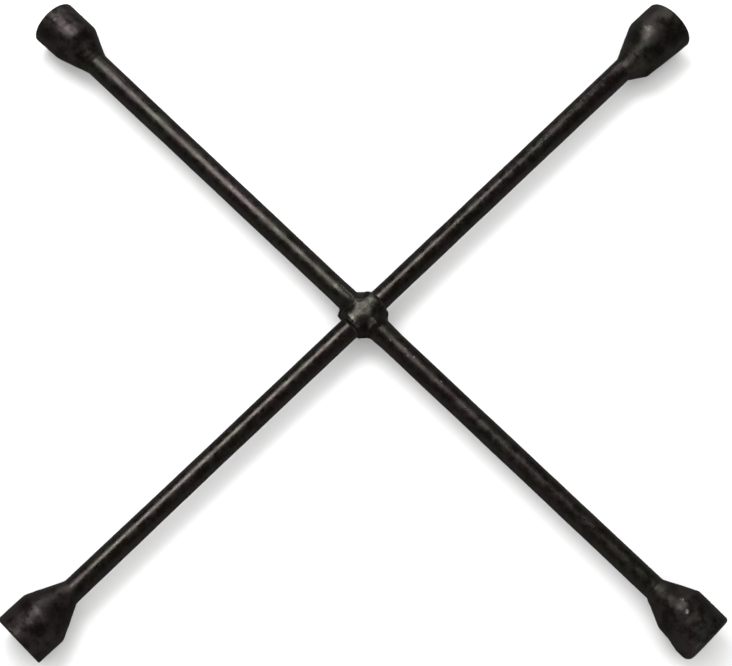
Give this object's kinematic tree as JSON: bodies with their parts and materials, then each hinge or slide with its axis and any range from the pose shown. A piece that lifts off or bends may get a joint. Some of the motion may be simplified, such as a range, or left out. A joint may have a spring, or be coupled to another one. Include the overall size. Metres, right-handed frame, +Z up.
{
  "type": "four-way lug wrench",
  "caption": "Cross-shaped wheel wrench: two round steel bars cross in a forged hub, each end carries a tapered hexagon socket, black finish.",
  "frame": {"origin": "where the axes of the two crossed bars meet, in the middle of the forged eye", "axes": "+X along the eye bar towards the 3/4 in socket, +Y along the cross bar towards the 13/16 in socket, +Z up, square to both bars"},
  "size_m": [0.508, 0.508, 0.0326],
  "materials": {
    "bar_black": "semi-gloss black oxide over round bar, scuffed to bare steel in spots",
    "socket_black": "semi-gloss black over forged scale, rubbed at the shoulder and mouth",
    "weld_black": "black-coated rippled weld metal"
  },
  "bodies": {
    "root": {"eye_bar": "bar_black", "cross_bar": "bar_black", "centre_weld_13_16_side": "weld_black", "centre_weld_7_8_side": "weld_black", "socket_3_4": "socket_black", "socket_13_16": "socket_black", "socket_11_16": "socket_black", "socket_7_8": "socket_black", "neck_weld_3_4": "weld_black", "neck_weld_13_16": "weld_black", "neck_weld_11_16": "weld_black", "neck_weld_7_8": "weld_black"}
  },
  "joints": []
}
